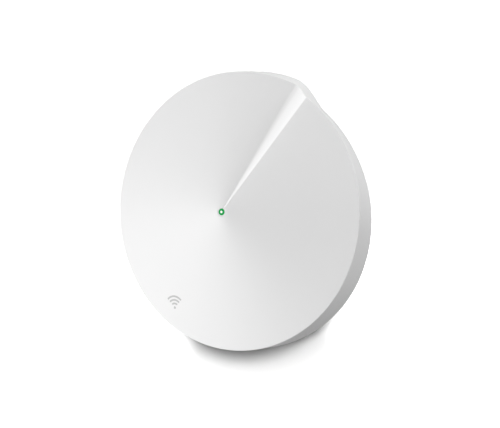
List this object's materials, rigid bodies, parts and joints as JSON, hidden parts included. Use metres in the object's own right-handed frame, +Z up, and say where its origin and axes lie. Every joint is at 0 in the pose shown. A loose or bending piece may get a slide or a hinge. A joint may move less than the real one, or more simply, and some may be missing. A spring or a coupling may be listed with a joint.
{
  "type": "mesh wifi node",
  "caption": "Round white tabletop wireless network unit with a shallow conical face that spirals up to one radial step, a centre status light, hidden rear ports and a reset button underneath.",
  "frame": {"origin": "on the table surface under the status light, which stands on the Z axis; the outline is a spiral, so the middle of its box is within 0.8 mm of the axis", "axes": "+Z up out of the face, +X away from the ports, +Y towards the side where the step in the face starts"},
  "size_m": [0.1206, 0.1226, 0.038],
  "materials": {
    "face_plastic": "satin moulded white",
    "base_plastic": "fine-textured moulded white",
    "light_green": "translucent green, lit",
    "light_white": "translucent white, lit",
    "clear_guide": "clear acrylic",
    "label": "matt printed film, blank",
    "rubber": "soft grey rubber",
    "screw_steel": "zinc-plated",
    "black_plastic": "moulded, fine texture",
    "switch_metal": "pressed",
    "board_green": "solder mask over woven laminate",
    "aluminium": "die-cast, matt",
    "brass": "turned",
    "pad": "soft thermal pad",
    "shield_tin": "tin-plated sheet",
    "chip_black": "moulded epoxy",
    "gold": "gold-plated",
    "lead_black": "smooth jacket",
    "ceramic": "fired ceramic",
    "capacitor_tan": "sleeved can"
  },
  "bodies": {
    "housing": {"top_cover": "face_plastic", "bottom_cover": "base_plastic", "light_ring": "light_green", "light_core": "light_white", "light_guide": "clear_guide", "port_bezel": "base_plastic", "label_plate": "label", "foot_rear_right": "rubber", "foot_front_right": "rubber", "foot_front_left": "rubber", "foot_rear_left": "rubber", "case_screws": "screw_steel", "board_screws": "screw_steel", "reset_switch": "switch_metal", "main_board": "board_green", "heat_spreader": "aluminium", "spreader_standoffs": "brass", "spreader_screws": "screw_steel", "thermal_pads": "pad", "processor_shield_frame": "shield_tin", "processor_shield_lid": "shield_tin", "radio_shield_frame": "shield_tin", "radio_shield_lid": "shield_tin", "processor": "chip_black", "memory_chip": "chip_black", "flash_chip": "chip_black", "low_band_radio": "chip_black", "high_band_radio": "chip_black", "network_switch_chip": "chip_black", "ethernet_jack_1_shell": "shield_tin", "ethernet_jack_1_insert": "black_plastic", "ethernet_jack_1_contacts": "gold", "ethernet_jack_2_shell": "shield_tin", "ethernet_jack_2_insert": "black_plastic", "ethernet_jack_2_contacts": "gold", "ethernet_transformer_1": "black_plastic", "ethernet_transformer_2": "black_plastic", "usb_c_shell": "shield_tin", "usb_c_tongue": "black_plastic", "usb_c_riser": "black_plastic", "status_led": "light_white", "antenna_frame": "black_plastic", "antenna_1": "gold", "antenna_2": "gold", "antenna_3": "gold", "antenna_4": "gold", "antenna_lead_1": "lead_black", "antenna_lead_2": "lead_black", "antenna_lead_3": "lead_black", "antenna_lead_4": "lead_black", "antenna_connectors": "brass", "short_range_antenna": "ceramic", "power_inductors": "black_plastic", "power_capacitors": "capacitor_tan", "clock_crystal": "shield_tin"},
    "reset_button": {"reset_button": "base_plastic", "reset_plunger": "black_plastic"}
  },
  "joints": [
    {"name": "reset_press", "type": "slide", "parent": "housing", "child": "reset_button", "axis": [0, 0, 1], "range_m": [0, 0.0005], "stiffness_N_per_m": 3000}
  ]
}
